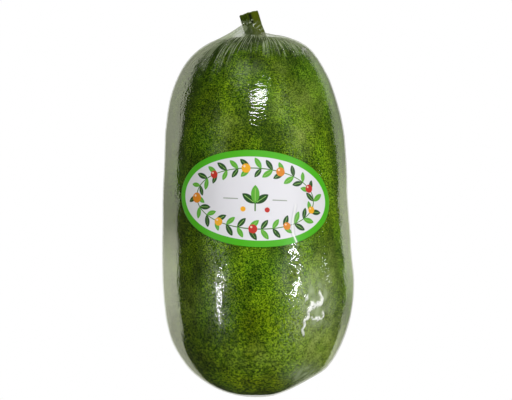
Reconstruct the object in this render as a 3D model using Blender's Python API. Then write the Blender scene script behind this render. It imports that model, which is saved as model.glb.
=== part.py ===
"""Winter melon in clinging clear film, with an oval label, lying on its side.

Run it with: blender --background --python part.py
Metres, +Z up. The fruit's long axis runs along Y, its stem end at +Y, and the label faces up.
The origin is on the resting plane, under the middle of the object's box.
"""

import math

import bpy
import numpy as np

# The fruit, pole to pole and across
FRUIT_LENGTH = 0.2342
FRUIT_RADIUS = 0.0611
HALF_LENGTH = FRUIT_LENGTH / 2
# Superellipse exponents of the two ends: along the axis, then across it
STEM_END = (3.2, 2.75)
BLOSSOM_END = (4.1, 2.05)
# The stem half is a little slimmer, from one place along the axis to another
STEM_TAPER = 0.030
TAPER_FROM, TAPER_TO = -0.40, 0.35
# The axis sways sideways, and the girth has three soft lobes and slow swells
AXIS_SWAY, STEM_RETURN = 0.0017, 0.0018
LOBES, LOBE_DEPTH, LOBE_TURN = 3, 0.008, 0.6
SWELL_DEPTH = 0.006
# The blossom end is flattened on its +X side: where along the axis, how deep, and how far round
FLAT_FROM, FLAT_TO = -0.84, -0.95
FLAT_DEPTH, FLAT_WIDTH = 0.15, 0.85
# Broad local bulges: where along the axis, how long, where round it, how wide, and how high
BULGES = ((-0.42, 0.18, 0.5, 0.9, 0.030), (-0.66, 0.18, -0.5, 0.9, 0.020),
          (0.40, 0.24, 0.5, 0.9, 0.024), (0.40, 0.24, -0.5, 0.9, -0.020))
# The underside is pressed up this far above its lowest line. It rests on a patch in the middle,
# from one place along the axis to another and this far to each side, and stays clear all round it
SETTLE = 0.0018
REST_FROM, REST_TO, REST_TURN = -0.36, 0.34, math.radians(14)
REST_CLEARANCE = 0.0003

# The dish round the stem, and the dimple and scar button at the blossom end
CROWN_DEPTH, CROWN_WIDTH = 0.0020, 0.0150
DIMPLE_DEPTH, DIMPLE_WIDTH = 0.0018, 0.0085
BUTTON_HEIGHT, BUTTON_WIDTH = 0.0011, 0.0032

# The cut stem
STEM_LENGTH = 0.0161
STEM_RADIUS, STEM_FLARE, FLARE_HEIGHT = 0.0058, 0.0014, 0.0035
STEM_RIBS, RIB_DEPTH = 5, 0.08
STEM_LEAN = math.radians(16)
STEM_CUT = math.radians(16)
PITH_DEPTH, CUT_EDGE = 0.0008, 0.0005

# Clear film: thicker than real film, with room between the solids
GAP = 0.0003
FILM_THICK = 0.0006
# It leaves the crown this far from the stem, further out on the -X side, and meets the stem higher there
TENT_REACH, REACH_TILT = 0.0205, 0.0065
COLLAR_FOOT, COLLAR_TILT, COLLAR_TOP = 0.0062, 0.0027, 0.0112
TENT_BOW = 0.50
PLEATS, PLEAT_DEPTH, PLEAT_REACH = 16, 0.0003, 0.0420

# The oval label: half its width round the fruit, half its height along it
LABEL_HALF_WIDTH, LABEL_HALF_HEIGHT = 0.0538, 0.0303
LABEL_THICK, LABEL_GAP = 0.0006, 0.0004
LABEL_X, LABEL_Y, LABEL_TURN = 0.0005, 0.0110, math.radians(-2.5)

# How finely each surface is divided
SECTORS = 64
MELON_RINGS, SHOULDER_RINGS, COLLAR_RINGS, SLEEVE_RINGS = 30, 4, 6, 2
# Up to this angle the film's rings lie straight over the fruit's own rings, so that the two never cross
SHARED_TO = 1.1
STEM_SECTORS, STEM_RINGS = 40, 8
LABEL_SECTORS, LABEL_RINGS = 48, 7
PROFILE_SAMPLES = 4001
TURN_WEIGHT = 0.045


def smooth_step(low, high, value):
    """0 below low, 1 above high, and a smooth cubic between."""
    share = np.clip((value - low) / (high - low), 0.0, 1.0)
    return share * share * (3.0 - 2.0 * share)


def slimness(t):
    """The share of the full radius that the taper leaves at t, which runs from -1 to 1 along the axis."""
    return 1.0 - STEM_TAPER * smooth_step(TAPER_FROM, TAPER_TO, t)


def profile(u):
    """(t, share of the radius) at angle u, -90 to 90 degrees: a superellipse, each end with its own exponents."""
    along = np.where(u > 0, STEM_END[0], BLOSSOM_END[0])
    across = np.where(u > 0, STEM_END[1], BLOSSOM_END[1])
    t = np.sign(u) * np.abs(np.sin(u)) ** (2.0 / along)
    return t, np.clip(np.cos(u), 0.0, 1.0) ** (2.0 / across)


def ring_angles(count, first=-math.pi / 2, last_radius=0.0):
    """Angles u of count rings from the first angle to last_radius, spaced evenly by length plus turning."""
    u = np.linspace(first, math.pi / 2, PROFILE_SAMPLES)
    t, share = profile(u)
    line = np.stack([FRUIT_RADIUS * slimness(t) * share, HALF_LENGTH * t], axis=1)
    step = np.diff(line, axis=0)
    heading = np.unwrap(np.arctan2(step[:, 0], step[:, 1]))
    turned = np.abs(np.diff(heading, prepend=heading[0]))
    travelled = np.concatenate([[0.0], np.cumsum(np.hypot(*step.T) + TURN_WEIGHT * turned)])
    inside = (u < 0) | (line[:, 0] > last_radius)
    end = travelled[inside][-1]
    return np.interp(np.linspace(0.0, end, count), travelled, u)


def melon_angles():
    """Angles u of the fruit's rings, without the two poles."""
    return ring_angles(MELON_RINGS + 2)[1:-1]


def film_angles(last_radius):
    """Angles u of the film's rings on the fruit: the fruit's own, then evenly spaced ones up to last_radius."""
    shared = melon_angles()
    shared = shared[shared < SHARED_TO]
    return np.append(shared, ring_angles(SHOULDER_RINGS + 1, shared[-1], last_radius)[1:])


def swell(t, v):
    """Relative change of the girth: lobes, slow waves and bulges, less the flat side by the blossom end."""
    lobes = LOBE_DEPTH * np.cos(LOBES * v + LOBE_TURN)
    waves = np.sin(3.4 * t + 2.0 * v + 0.8) + 0.6 * np.sin(7.1 * t - v + 2.1)
    beside = np.exp((np.cos(v - math.pi / 2) - 1.0) / FLAT_WIDTH**2)
    flat = FLAT_DEPTH * smooth_step(-FLAT_FROM, -FLAT_TO, -t) * beside
    bulges = 0.0
    for along, length, turn, width, height in BULGES:
        round_it = np.exp((np.cos(v - turn * math.pi) - 1.0) / width**2)
        bulges = bulges + height * round_it * np.exp(-(((t - along) / length) ** 2))
    return lobes + SWELL_DEPTH * waves * 0.5 + bulges - flat


def crown_dish(radius):
    """How far the crown dips at this distance from the stem pole."""
    return CROWN_DEPTH * np.exp(-((radius / CROWN_WIDTH) ** 2))


def blossom_dish(radius):
    """How far the blossom end dips, less the scar button in the middle of the dip."""
    dip = DIMPLE_DEPTH * np.exp(-((radius / DIMPLE_WIDTH) ** 2))
    return dip - BUTTON_HEIGHT * np.exp(-((radius / BUTTON_WIDTH) ** 4))


def axis_at(t):
    """(x, z) of the fruit's axis: it sways sideways, and sinks as the taper starts, so that it lies level."""
    sideways = STEM_RETURN * smooth_step(0.80, 1.0, t) - AXIS_SWAY * np.sin(0.75 * math.pi * t)
    return sideways, -FRUIT_RADIUS * (1.0 - slimness(t))


def angle_at(t):
    """The angle u whose profile point lies at t."""
    power = np.where(t > 0, STEM_END[0], BLOSSOM_END[0])
    return np.arcsin(np.sign(t) * np.abs(t) ** (power / 2.0))


def fruit_skin(u, v, outward):
    """(points, radius) of the skin moved outward, at angles u along the fruit and v round it from the top."""
    t, share = profile(u)
    radius = (FRUIT_RADIUS * slimness(t) * (1.0 + swell(t, v)) + outward) * share
    x, z = axis_at(t)
    points = [x + radius * np.sin(v), (HALF_LENGTH + outward) * t, z + radius * np.cos(v)]
    return np.stack(points, axis=-1), radius


def rest_level():
    """The height of the flat that the underside is settled to, for the bare skin."""
    points, _ = fruit_skin(angle_at(np.linspace(-0.9, 0.9, 181)), math.pi, 0.0)
    return float(points[:, 2].min()) + SETTLE


def settle(points, v, outward):
    """Points at angles v round the fruit, pressed flat on the resting patch and kept just clear beside it."""
    plane = rest_level() - outward
    t = points[..., 1] / (HALF_LENGTH + outward)
    on_patch = (t > REST_FROM) & (t < REST_TO) & (np.abs(v - math.pi) < REST_TURN)
    points[..., 2] = np.where(on_patch, plane, np.maximum(points[..., 2], plane + REST_CLEARANCE))
    return points


def normals_of(grid):
    """Unit normals, away from the axis, of a grid of points whose second direction closes on itself."""
    along = np.gradient(grid, axis=0)
    around = np.roll(grid, -1, axis=1) - np.roll(grid, 1, axis=1)
    normal = np.cross(around, along)
    return normal / np.maximum(np.linalg.norm(normal, axis=-1, keepdims=True), 1e-12)


def crown_height(radius):
    """Height along Y of the fruit's crown at this distance from the stem pole."""
    share = np.clip(radius / (FRUIT_RADIUS * (1.0 - STEM_TAPER)), 0.0, 1.0)
    t = (1.0 - share ** STEM_END[1]) ** (1.0 / STEM_END[0])
    return HALF_LENGTH * t - crown_dish(radius)


def stem_pole():
    """The middle of the stem's foot on the crown."""
    x, z = axis_at(1.0)
    return np.array([x, float(crown_height(0.0)), z])


def blossom_pole(outward):
    """The middle of the blossom end of a surface that lies this far outside the fruit, before its dimple."""
    x, z = axis_at(-1.0)
    return np.array([x, -HALF_LENGTH - outward, z])


def plain_stem_radius(height):
    """The stem's radius before its ribs, flared towards its foot."""
    return STEM_RADIUS + STEM_FLARE * np.exp(-height / FLARE_HEIGHT)


def stem_radius(height, angle):
    """The stem's radius with its ribs."""
    return plain_stem_radius(height) * (1.0 + RIB_DEPTH * np.cos(STEM_RIBS * angle + 0.4))


def stem_middle(height):
    """The stem's centre line: it leaves the crown squarely and bends over towards -X."""
    bend = STEM_LEAN * smooth_step(-0.5 * STEM_LENGTH, 0.5 * STEM_LENGTH, height)
    middle = np.zeros(np.shape(height) + (3,))
    middle[..., 0] = -np.tan(bend) * height
    middle[..., 1] = height
    return middle + stem_pole()


def ring_faces(first, second, count):
    """Quads between two rings of vertices that start at these indices."""
    here = np.arange(count)
    after = (here + 1) % count
    return np.stack([first + here, first + after, second + after, second + here], axis=1).tolist()


def fan_faces(middle, ring, count, flip=False):
    """Triangles from one vertex to the ring that starts at this index."""
    here = np.arange(count)
    after = (here + 1) % count
    corners = [np.full(count, middle), ring + after, ring + here]
    faces = np.stack(corners, axis=1)
    return (faces[:, ::-1] if flip else faces).tolist()


def sleeve_faces(rings, count, first=0, flip=False):
    """Quads of a stack of rings, each with count vertices. Turned over, they keep their first corner."""
    faces = []
    for ring in range(rings - 1):
        faces += ring_faces(first + ring * count, first + (ring + 1) * count, count)
    return [face[:1] + face[:0:-1] for face in faces] if flip else faces


def add_piece(name, points, faces, material):
    """One closed solid as an object, shaded smooth, its faces pointing out."""
    mesh = bpy.data.meshes.new(name)
    mesh.from_pydata(points.reshape(-1, 3).tolist(), [], faces)
    mesh.validate()
    mesh.shade_smooth()
    mesh.materials.append(material)
    piece = bpy.data.objects.new(name, mesh)
    bpy.context.scene.collection.objects.link(piece)
    return piece


def plain_material(name, colour, roughness, alpha=1.0):
    """A Principled material of one colour."""
    material = bpy.data.materials.new(name)
    material.use_nodes = True
    shader = material.node_tree.nodes["Principled BSDF"]
    shader.inputs["Base Color"].default_value = (*colour, 1.0)
    shader.inputs["Roughness"].default_value = roughness
    shader.inputs["Metallic"].default_value = 0.0
    shader.inputs["Alpha"].default_value = alpha
    return material


def make_melon():
    """The whole fruit: skin rings between a pole at each end, with the crown's dish and the blossom scar."""
    around = np.arange(SECTORS) * 2.0 * math.pi / SECTORS
    u, v = np.meshgrid(melon_angles(), around, indexing="ij")
    skin, radius = fruit_skin(u, v, 0.0)
    skin[..., 1] += np.where(u > 0, -crown_dish(radius), blossom_dish(radius))
    skin = settle(skin, v, 0.0)
    blossom = blossom_pole(0.0) + [0.0, float(blossom_dish(0.0)), 0.0]
    points = np.concatenate([skin.reshape(-1, 3), [blossom], [stem_pole()]])
    faces = sleeve_faces(len(u), SECTORS)
    faces += fan_faces(len(points) - 2, 0, SECTORS)
    faces += fan_faces(len(points) - 1, (len(u) - 1) * SECTORS, SECTORS, flip=True)
    return add_piece("melon", points, faces, plain_material("rind", (0.085, 0.150, 0.022), 0.45))


def make_stem():
    """The cut stem: a foot shaped to the crown, ribbed sides, and a slanting cut with a sunken pith."""
    around = np.arange(STEM_SECTORS) * 2.0 * math.pi / STEM_SECTORS
    circle = np.stack([np.sin(around), np.zeros(STEM_SECTORS), np.cos(around)], axis=1)
    heights = np.linspace(0.0, STEM_LENGTH, STEM_RINGS)
    rings = []
    for inner in (0.4, 0.8):
        foot = circle * (stem_radius(0.0, around) * inner)[:, None] + stem_pole()
        foot[:, 1] = crown_height(stem_radius(0.0, around) * inner) + GAP
        rings.append(foot)
    for height in heights:
        ring = circle * stem_radius(height, around)[:, None] + stem_middle(height)
        sole = crown_height(stem_radius(0.0, around)) + GAP - stem_pole()[1]
        slant = math.tan(STEM_CUT) * circle[:, 0] * STEM_RADIUS
        share = height / STEM_LENGTH
        ring[:, 1] += (1.0 - share) * sole + share * slant
        rings.append(ring)
    top = rings[-1]
    middle = top.mean(axis=0)
    rings.append(middle + (top - middle) * 0.90 + [0.0, CUT_EDGE, 0.0])
    rings.append(middle + (top - middle) * 0.45 + [0.0, CUT_EDGE - PITH_DEPTH, 0.0])
    points = np.concatenate(rings)
    foot_middle = stem_pole() + [0.0, GAP, 0.0]
    cut_middle = middle + [0.0, CUT_EDGE - PITH_DEPTH, 0.0]
    points = np.concatenate([points, [foot_middle], [cut_middle]])
    faces = sleeve_faces(len(rings), STEM_SECTORS)
    faces += fan_faces(len(points) - 2, 0, STEM_SECTORS)
    faces += fan_faces(len(points) - 1, (len(rings) - 1) * STEM_SECTORS, STEM_SECTORS, flip=True)
    return add_piece("stem", points, faces, plain_material("stem", (0.110, 0.150, 0.020), 0.6))


def collar_radius(height):
    """The film's radius where it lies along the stem, clear of the stem's ribs."""
    return plain_stem_radius(height) * (1.0 + RIB_DEPTH) + GAP


def film_sheet():
    """The film's inner face: over the fruit to its shoulder, up in a tent to the stem, then along the stem."""
    around = np.arange(SECTORS) * 2.0 * math.pi / SECTORS
    reach = TENT_REACH - REACH_TILT * np.sin(around)
    u = np.stack([film_angles(last) for last in reach], axis=1)
    skin = settle(fruit_skin(u, np.broadcast_to(around, u.shape), GAP)[0], around, GAP)
    shoulder = skin[-1]
    radius = np.linalg.norm((shoulder - stem_pole())[:, ::2], axis=1)
    shoulder[:, 1] = np.maximum(shoulder[:, 1] - crown_dish(radius), skin[-2, :, 1])
    circle = np.stack([np.sin(around), np.zeros(SECTORS), np.cos(around)], axis=1)
    foot_height = COLLAR_FOOT - COLLAR_TILT * np.sin(around)
    foot = stem_middle(foot_height) + circle * collar_radius(foot_height)[:, None]
    step = shoulder - skin[-2]
    slope = step / np.linalg.norm(step[:, ::2], axis=1)[:, None]
    span = np.linalg.norm((foot - shoulder)[:, ::2], axis=1)
    elbow = shoulder + slope * (TENT_BOW * span)[:, None]
    rings = []
    for share in np.linspace(0.0, 1.0, COLLAR_RINGS + 1)[1:]:
        a, b, c = (1 - share) ** 2, 2 * share * (1 - share), share**2
        rings.append(a * shoulder + b * elbow + c * foot)
    for share in np.linspace(0.0, 1.0, SLEEVE_RINGS + 1)[1:]:
        height = foot_height + (COLLAR_TOP - foot_height) * share
        rings.append(stem_middle(height) + circle * collar_radius(height)[:, None])
    return np.concatenate([skin, np.stack(rings)]), around


def pleated(sheet, around):
    """The sheet pushed outwards in radial pleats that die away with distance from the stem."""
    from_stem = np.linalg.norm((sheet - stem_pole())[..., ::2], axis=-1)
    near = np.where(sheet[..., 1] > 0, 1.0 - smooth_step(0.3 * PLEAT_REACH, PLEAT_REACH, from_stem), 0.0)
    rise = PLEAT_DEPTH * near * (0.5 + 0.5 * np.cos(PLEATS * around))
    return sheet + normals_of(sheet) * rise[..., None]


def make_film():
    """One skin of film: inner and outer faces, closed at the blossom pole and joined at its rim by the stem."""
    sheet, around = film_sheet()
    inner = pleated(sheet, around)
    outer = settle(inner + normals_of(inner) * FILM_THICK, around, GAP + FILM_THICK)
    rings = len(sheet)
    poles = [blossom_pole(GAP), blossom_pole(GAP + FILM_THICK)]
    points = np.concatenate([inner.reshape(-1, 3), outer.reshape(-1, 3), poles])
    outer_first = rings * SECTORS
    faces = sleeve_faces(rings, SECTORS, flip=True)
    faces += sleeve_faces(rings, SECTORS, first=outer_first)
    faces += fan_faces(len(points) - 2, 0, SECTORS, flip=True)
    faces += fan_faces(len(points) - 1, outer_first, SECTORS)
    faces += ring_faces(2 * outer_first - SECTORS, outer_first - SECTORS, SECTORS)
    return add_piece("film", points, faces, plain_material("film", (0.86, 0.90, 0.84), 0.12, alpha=0.3))


def label_face(outward):
    """Points of the oval over the film: rings of an ellipse rolled round the fruit, then its middle."""
    ring_share = np.linspace(0.0, 1.0, LABEL_RINGS + 1)[1:]
    angle = np.arange(LABEL_SECTORS) * 2.0 * math.pi / LABEL_SECTORS
    share, angle = np.meshgrid(ring_share, angle, indexing="ij")
    a = np.append((share * LABEL_HALF_WIDTH * np.cos(angle)).ravel(), 0.0)
    b = np.append((share * LABEL_HALF_HEIGHT * np.sin(angle)).ravel(), 0.0)
    across = a * math.cos(LABEL_TURN) - b * math.sin(LABEL_TURN)
    along = a * math.sin(LABEL_TURN) + b * math.cos(LABEL_TURN) + LABEL_Y
    t = along / (HALF_LENGTH + outward)
    return fruit_skin(angle_at(t), (across + LABEL_X) / FRUIT_RADIUS, outward)[0]


def make_label():
    """The oval label: a thin plate bent over the film, its rim closed."""
    under = label_face(GAP + FILM_THICK + LABEL_GAP)
    over = label_face(GAP + FILM_THICK + LABEL_GAP + LABEL_THICK)
    points = np.concatenate([under, over])
    count = len(under)
    rim = (LABEL_RINGS - 1) * LABEL_SECTORS
    faces = sleeve_faces(LABEL_RINGS, LABEL_SECTORS)
    faces += sleeve_faces(LABEL_RINGS, LABEL_SECTORS, first=count, flip=True)
    faces += fan_faces(count - 1, 0, LABEL_SECTORS)
    faces += fan_faces(2 * count - 1, count, LABEL_SECTORS, flip=True)
    faces += ring_faces(rim, count + rim, LABEL_SECTORS)
    return add_piece("label", points, faces, plain_material("label", (0.80, 0.80, 0.82), 0.4))


def stand_on_origin(pieces):
    """Moves every piece so that the box round them all is centred over the origin and stands on zero height."""
    corners = np.array([v.co for piece in pieces for v in piece.data.vertices])
    low, high = corners.min(axis=0), corners.max(axis=0)
    shift = -(low + high) / 2.0
    shift[2] = -low[2]
    for piece in pieces:
        piece.location = shift.tolist()


def main():
    for old in list(bpy.data.objects):
        bpy.data.objects.remove(old)
    stand_on_origin([make_melon(), make_stem(), make_film(), make_label()])


main()
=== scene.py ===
"""Winter melon in clear film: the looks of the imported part, seen straight from above as in the photograph.

Lengths are metres. The fruit lies along Y with its stem at +Y, and the label faces up.
Every surface repeats the formulas of the CAD part in the CAD part's own raw frame, then moves to its place.
"""

import math

import bpy
import mathutils
import numpy as np
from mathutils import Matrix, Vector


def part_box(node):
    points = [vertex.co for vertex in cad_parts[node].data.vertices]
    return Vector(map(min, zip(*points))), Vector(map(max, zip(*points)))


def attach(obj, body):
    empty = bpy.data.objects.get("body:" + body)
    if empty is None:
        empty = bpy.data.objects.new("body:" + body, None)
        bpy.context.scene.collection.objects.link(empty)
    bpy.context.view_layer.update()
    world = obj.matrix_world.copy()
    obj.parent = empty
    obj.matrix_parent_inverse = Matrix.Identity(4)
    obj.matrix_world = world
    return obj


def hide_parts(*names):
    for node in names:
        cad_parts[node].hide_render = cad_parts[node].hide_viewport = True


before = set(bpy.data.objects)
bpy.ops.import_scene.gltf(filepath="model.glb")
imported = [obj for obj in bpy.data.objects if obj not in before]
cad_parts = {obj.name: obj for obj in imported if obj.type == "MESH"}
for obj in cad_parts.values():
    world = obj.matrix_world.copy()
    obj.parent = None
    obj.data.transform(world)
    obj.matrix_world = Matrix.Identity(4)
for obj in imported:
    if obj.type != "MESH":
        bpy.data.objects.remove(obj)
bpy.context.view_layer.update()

# The CAD part's own measures
FRUIT_LENGTH, FRUIT_RADIUS = 0.2342, 0.0611
HALF_LENGTH = FRUIT_LENGTH / 2
STEM_END, BLOSSOM_END = (3.2, 2.75), (4.1, 2.05)
STEM_TAPER, TAPER_FROM, TAPER_TO = 0.030, -0.40, 0.35
AXIS_SWAY, STEM_RETURN = 0.0017, 0.0018
LOBES, LOBE_DEPTH, LOBE_TURN, SWELL_DEPTH = 3, 0.008, 0.6, 0.006
FLAT_FROM, FLAT_TO, FLAT_DEPTH, FLAT_WIDTH = -0.84, -0.95, 0.15, 0.85
BULGES = ((-0.42, 0.18, 0.5, 0.9, 0.030), (-0.66, 0.18, -0.5, 0.9, 0.020),
          (0.40, 0.24, 0.5, 0.9, 0.024), (0.40, 0.24, -0.5, 0.9, -0.020))
SETTLE = 0.0018
CROWN_DEPTH, CROWN_WIDTH = 0.0020, 0.0150
DIMPLE_DEPTH, DIMPLE_WIDTH = 0.0018, 0.0085
BUTTON_HEIGHT, BUTTON_WIDTH = 0.0011, 0.0032
STEM_LENGTH, STEM_RADIUS, STEM_FLARE, FLARE_HEIGHT = 0.0161, 0.0058, 0.0014, 0.0035
STEM_RIBS, RIB_DEPTH = 5, 0.08
STEM_LEAN, STEM_CUT, STEM_GAP = math.radians(16), math.radians(16), 0.0003
TENT_REACH, REACH_TILT, TENT_BOW = 0.0205, 0.0065, 0.50
COLLAR_FOOT, COLLAR_TILT, COLLAR_TOP = 0.0062, 0.0027, 0.0112
LABEL_HALF_WIDTH, LABEL_HALF_HEIGHT = 0.0538, 0.0303
LABEL_X, LABEL_Y, LABEL_TURN = 0.0005, 0.0110, math.radians(-2.5)

# How far the drawn film and label stand off the bare skin
FILM_OUT, LABEL_OUT, LABEL_THICK = 0.0006, 0.0009, 0.00025

MELON_RINGS, MELON_SECTORS = 290, 336
FILM_SECTORS, FILM_BODY, FILM_TENT, FILM_SLEEVE = 520, 138, 34, 16
STEM_SECTORS, STEM_RINGS, CUT_RINGS, FOOT_RINGS = 220, 90, 24, 6
LABEL_SECTORS, LABEL_RINGS, LABEL_UNDER_RINGS = 520, 130, 12

# The point under the camera
EYE_X, EYE_Y = -0.00142, 0.00248

# Folds that stand up from the film: a line of (x, y) in millimetres from the point under the camera,
# then its height and half width in millimetres, and how whitish its crest is, a whiteness that is partly
# painted highlight
FILM_FOLDS = (
    (((39.5, -56.5), (40.7, -58.9), (41.7, -62.7), (41.1, -65.0), (38.0, -65.7), (34.9, -66.7), (33.7, -68.5),
      (32.9, -71.6), (31.4, -75.4), (29.8, -79.1), (29.1, -82.9), (30.2, -86.7)), 0.95, 2.6, 1.0),
    (((33.7, -73.9), (37.2, -74.4), (40.3, -74.9), (42.3, -73.1), (42.6, -70.1)), 0.75, 2.0, 0.90),
    (((30.6, -60.5), (33.2, -62.3)), 0.75, 2.6, 0.95),
    (((32.1, 98.5), (30.2, 96.0), (27.6, 92.7)), 1.0, 2.2, 0.30),
)
# The label's one fold: its line, height and half width in the same measures
LABEL_FOLD = (((24.7, -0.9), (24.7, -3.8), (23.8, -8.8), (22.7, -15.6), (23.1, -21.3), (25.7, -26.9),
               (26.3, -31.3)), 0.22, 1.1)

# Places where the film looks hazy, partly where it lies slack and partly as painted sheen: the middle (x, y)
# and the half sizes in the same millimetres, and how hazy
HAZE_AND_SHEEN_PLACES = (
    (22.0, 104.5, 20.0, 5.5, 0.36),
    (31.0, -112.0, 10.0, 7.0, 0.68),
    (38.0, -64.0, 10.0, 16.0, 0.66),
    (18.0, -46.0, 5.0, 16.0, 0.13),
    (-6.5, 83.0, 9.0, 6.0, 0.14),
    (-27.0, -56.0, 9.0, 30.0, 0.08),
)
# Pale places in the rind, given in the same way
PALE_PLACES = (
    (39.0, -92.0, 15.0, 22.0, 1.00),
    (41.0, -48.0, 11.0, 18.0, 0.75),
    (29.5, 41.0, 6.0, 10.0, 0.70),
    (31.0, 64.0, 12.0, 12.0, 0.45),
    (14.0, 58.0, 5.0, 9.0, 0.45),
    (-16.0, 48.0, 6.0, 8.0, 0.40),
    (6.0, -100.0, 26.0, 10.0, 0.30),
    (-21.0, 22.0, 4.0, 14.0, 0.30),
    (-41.0, -68.0, 7.0, 12.0, 0.22),
    (15.5, 84.0, 6.0, 7.0, 0.25),
)

# Soft boxes: place, width and length, radiance, and lean in degrees. All of them aim at LIT_MIDDLE
LIT_MIDDLE = (0.0, -0.03, 0.08)
SOFT_BOXES = {
    "left_box": ((-0.80, -0.27, 0.81), 0.045, 0.28, 42.0, 0),
    "right_box": ((0.76, -0.12, 0.84), 0.07, 0.38, 40.0, 34),
    "stem_box": ((0.13, 0.54, 0.86), 0.44, 0.15, 15.0, -20),
    "right_strip": ((1.30, 0.02, 0.06), 0.02, 0.12, 12.0, 0),
    "overhead": ((0.25, 0.05, 1.40), 0.90, 0.90, 2.1, 0),
}
# Soft sheens of the surroundings: towards where, half width across and along, and radiance
SHEENS = (
    ((-0.74, -0.16, 0.64), 0.20, 0.34, 0.95),
    ((0.80, -0.30, 0.55), 0.26, 0.40, 1.20),
    ((-0.22, 0.70, 0.66), 0.16, 0.14, 0.80),
    ((0.66, 0.42, 0.60), 0.16, 0.20, 0.45),
)
# The radiance of the surroundings between the sheens, of the floor off its bright sheet, and of the floor
# as it lights the rind and the label
DIM_LIGHT, DIM_FLOOR, FLOOR_BOUNCE = 0.02, 0.03, 0.45

# The bright sheet on the floor that the film reflects: its middle, the half sizes of its flat part,
# and how wide its rounded rim is where it starts and ends to fade
SHEET_MIDDLE, SHEET_HALF, SHEET_RIM = (-0.051, 0.0075), (0.106, 0.0475), (0.107, 0.113)
# The fruit's shade on that sheet: the fruit as a stadium from one Y to another, its radius,
# how far the shade fades, and the sheet's radiance beyond it
SHADE_FROM, SHADE_TO, SHADE_RADIUS, SHADE_FADE, SHEET_RADIANCE = -0.070, 0.055, 0.062, 0.130, 3.2

# The camera's height above the fruit's axis in metres, its lens and its sensor's width in millimetres
CAMERA_HEIGHT, LENS_MM, SENSOR_MM = 1.5, 162.3, 36.0


# Numbers and shapes

def smooth_step(low, high, value):
    """0 below low, 1 above high, and a smooth cubic between."""
    share = np.clip((value - low) / (high - low), 0.0, 1.0)
    return share * share * (3.0 - 2.0 * share)


def slimness(t):
    """The share of the full radius that the taper leaves at t, which runs from -1 to 1 along the axis."""
    return 1.0 - STEM_TAPER * smooth_step(TAPER_FROM, TAPER_TO, t)


def profile(u):
    """(t, share of the radius) at angle u: a superellipse with its own exponents each side."""
    along = np.where(u > 0, STEM_END[0], BLOSSOM_END[0])
    across = np.where(u > 0, STEM_END[1], BLOSSOM_END[1])
    t = np.sign(u) * np.abs(np.sin(u)) ** (2.0 / along)
    return t, np.clip(np.cos(u), 0.0, 1.0) ** (2.0 / across)


def swell(t, v):
    """Relative bulge of the girth at (t, v).

    Three lobes, slow waves and BULGES, less a flat beside the blossom end. Each bulge is a bell curve along t
    times a bell-like curve round v, exp((cos(v - turn) - 1) / width^2).
    """
    lobes = LOBE_DEPTH * np.cos(LOBES * v + LOBE_TURN)
    waves = np.sin(3.4 * t + 2.0 * v + 0.8) + 0.6 * np.sin(7.1 * t - v + 2.1)
    beside = np.exp((np.cos(v - math.pi / 2) - 1.0) / FLAT_WIDTH**2)
    flat = FLAT_DEPTH * smooth_step(-FLAT_FROM, -FLAT_TO, -t) * beside
    bulges = 0.0
    for along, length, turn, width, height in BULGES:
        round_it = np.exp((np.cos(v - turn * math.pi) - 1.0) / width**2)
        bulges = bulges + height * round_it * np.exp(-(((t - along) / length) ** 2))
    return lobes + SWELL_DEPTH * waves * 0.5 + bulges - flat


def axis_at(t):
    """(x, z) of the fruit's axis, which sways sideways and sinks as the taper starts."""
    sideways = STEM_RETURN * smooth_step(0.80, 1.0, t) - AXIS_SWAY * np.sin(0.75 * math.pi * t)
    return sideways, -FRUIT_RADIUS * (1.0 - slimness(t))


def angle_at(t):
    """The angle u whose profile point lies at t."""
    power = np.where(t > 0, STEM_END[0], BLOSSOM_END[0])
    return np.arcsin(np.sign(t) * np.abs(t) ** (power / 2.0))


def fruit_skin(u, v, outward):
    """(points, radius) of the skin moved outward, at angles u along the fruit and v round it.

    v is 0 at the top and grows towards +X. The profile's share is scaled by the tapered, swelled radius.
    """
    t, share = profile(u)
    radius = (FRUIT_RADIUS * slimness(t) * (1.0 + swell(t, v)) + outward) * share
    x, z = axis_at(t)
    points = [x + radius * np.sin(v), (HALF_LENGTH + outward) * t, z + radius * np.cos(v)]
    return np.stack(points, axis=-1), radius


def rest_level():
    """The height of the flat that the bare underside is settled to."""
    points, _ = fruit_skin(angle_at(np.linspace(-0.9, 0.9, 181)), math.pi, 0.0)
    return float(points[:, 2].min()) + SETTLE


def crown_dish(radius):
    """How far the crown dips at this distance from the stem pole."""
    return CROWN_DEPTH * np.exp(-((radius / CROWN_WIDTH) ** 2))


def blossom_dish(radius):
    """How far the blossom end dips, less the scar button in the middle of the dip."""
    dip = DIMPLE_DEPTH * np.exp(-((radius / DIMPLE_WIDTH) ** 2))
    return dip - BUTTON_HEIGHT * np.exp(-((radius / BUTTON_WIDTH) ** 4))


def crown_height(radius):
    """Height along Y of the bare crown at this distance from the stem pole."""
    share = np.clip(radius / (FRUIT_RADIUS * (1.0 - STEM_TAPER)), 0.0, 1.0)
    t = (1.0 - share ** STEM_END[1]) ** (1.0 / STEM_END[0])
    return HALF_LENGTH * t - crown_dish(radius)


def stem_pole():
    """The middle of the stem's foot on the crown."""
    x, z = axis_at(1.0)
    return np.array([x, float(crown_height(0.0)), z])


def stem_radius(height, angle):
    """The stem's radius: flared towards its foot, with ribs."""
    plain = STEM_RADIUS + STEM_FLARE * np.exp(-height / FLARE_HEIGHT)
    return plain * (1.0 + RIB_DEPTH * np.cos(STEM_RIBS * angle + 0.4))


def stem_middle(height):
    """The stem's centre line: it leaves the crown squarely and bends over towards -X."""
    bend = STEM_LEAN * smooth_step(-0.5 * STEM_LENGTH, 0.5 * STEM_LENGTH, height)
    middle = np.zeros(np.shape(height) + (3,))
    middle[..., 0] = -np.tan(bend) * height
    middle[..., 1] = height
    return middle + stem_pole()


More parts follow.
